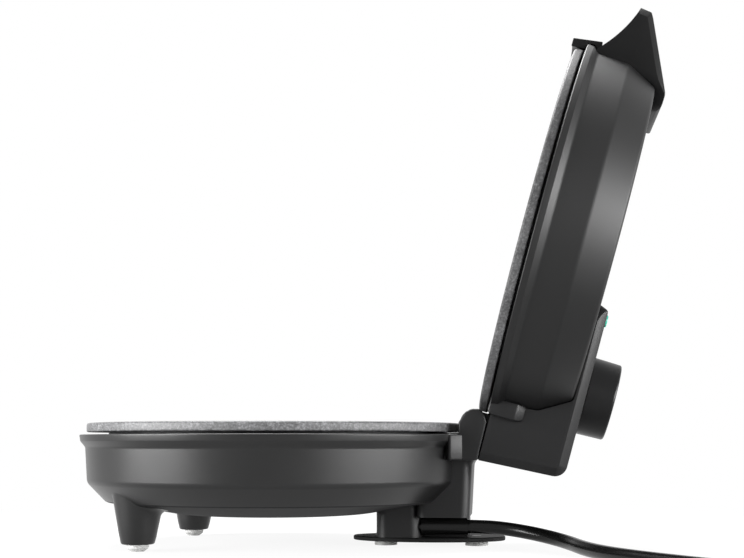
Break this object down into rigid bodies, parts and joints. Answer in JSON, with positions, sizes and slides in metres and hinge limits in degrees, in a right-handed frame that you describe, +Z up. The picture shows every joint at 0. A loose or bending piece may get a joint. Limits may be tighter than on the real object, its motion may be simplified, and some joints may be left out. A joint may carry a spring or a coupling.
{
  "type": "pancake maker",
  "caption": "Round countertop pancake maker with a hinged heated lid, dished cooking plate, front handle, rear control housing with dial, cord-wrap foot and mains cord.",
  "frame": {"origin": "middle of the object's footprint on the table, measured without the loose cord, with the lid open", "axes": "+Z up, +X from the handle side toward the hinge, +Y away from the side that the cord leaves on"},
  "size_m": [0.4294, 0.3134, 0.2778],
  "materials": {
    "housing_plastic": "satin charcoal moulding",
    "black_plastic": "fine matt black moulding",
    "gloss_black": "glossy black moulding",
    "plate_coating": "cast, dark non-stick coating",
    "bare_aluminium": "plain sheet",
    "steel": "plain steel",
    "brass": "plain brass",
    "nickel": "nickel plated",
    "pale_rubber": "translucent pale rubber",
    "cord_jacket": "glossy black jacket",
    "wire_sleeve": "white woven sleeve",
    "ceramic": "cream insulating block",
    "thermostat_body": "brown insulating moulding",
    "green_lens": "tinted clear moulding",
    "lamp_glass": "clear glow lamp"
  },
  "bodies": {
    "base": {"base_housing": "housing_plastic", "front_leg_near": "black_plastic", "front_leg_far": "black_plastic", "front_feet": "pale_rubber", "leg_screws": "steel", "hinge_tower": "black_plastic", "cord_wrap_flange": "gloss_black", "flange_screws": "steel", "rear_pads": "pale_rubber", "hinge_pins": "steel", "terminal_block": "ceramic", "thermal_fuse": "steel", "supply_lead": "cord_jacket", "hinge_lead": "wire_sleeve", "strain_relief": "cord_jacket", "power_cord": "cord_jacket", "cord_coil": "cord_jacket", "plug_lead": "cord_jacket", "plug": "gloss_black", "plug_pins": "nickel", "lower_cooking_plate": "plate_coating", "lower_heating_element": "steel", "lower_heat_reflector": "bare_aluminium", "lower_plate_screws": "steel", "tower_screws": "steel"},
    "lid": {"lid_housing": "housing_plastic", "upper_cooking_plate": "plate_coating", "upper_heating_element": "steel", "upper_heat_reflector": "bare_aluminium", "upper_plate_screws": "steel", "handle": "black_plastic", "handle_screws": "steel", "control_housing": "black_plastic", "control_housing_screws": "steel", "thermostat": "thermostat_body", "indicator_lens": "green_lens", "indicator_lamp": "lamp_glass", "lid_lead": "wire_sleeve"},
    "knob": {"thermostat_shaft": "brass", "thermostat_knob": "black_plastic"}
  },
  "joints": [
    {"name": "lid_hinge", "type": "hinge", "parent": "base", "child": "lid", "pos_m": [0.05515, 0, 0.0638], "axis": [0, 1, 0], "range_deg": [-105.8, 0]},
    {"name": "thermostat_turn", "type": "hinge", "parent": "lid", "child": "knob", "pos_m": [0.06385, 0, 0.09252], "axis": [0.9622, 0, -0.2723], "range_deg": [-270, 0]}
  ]
}
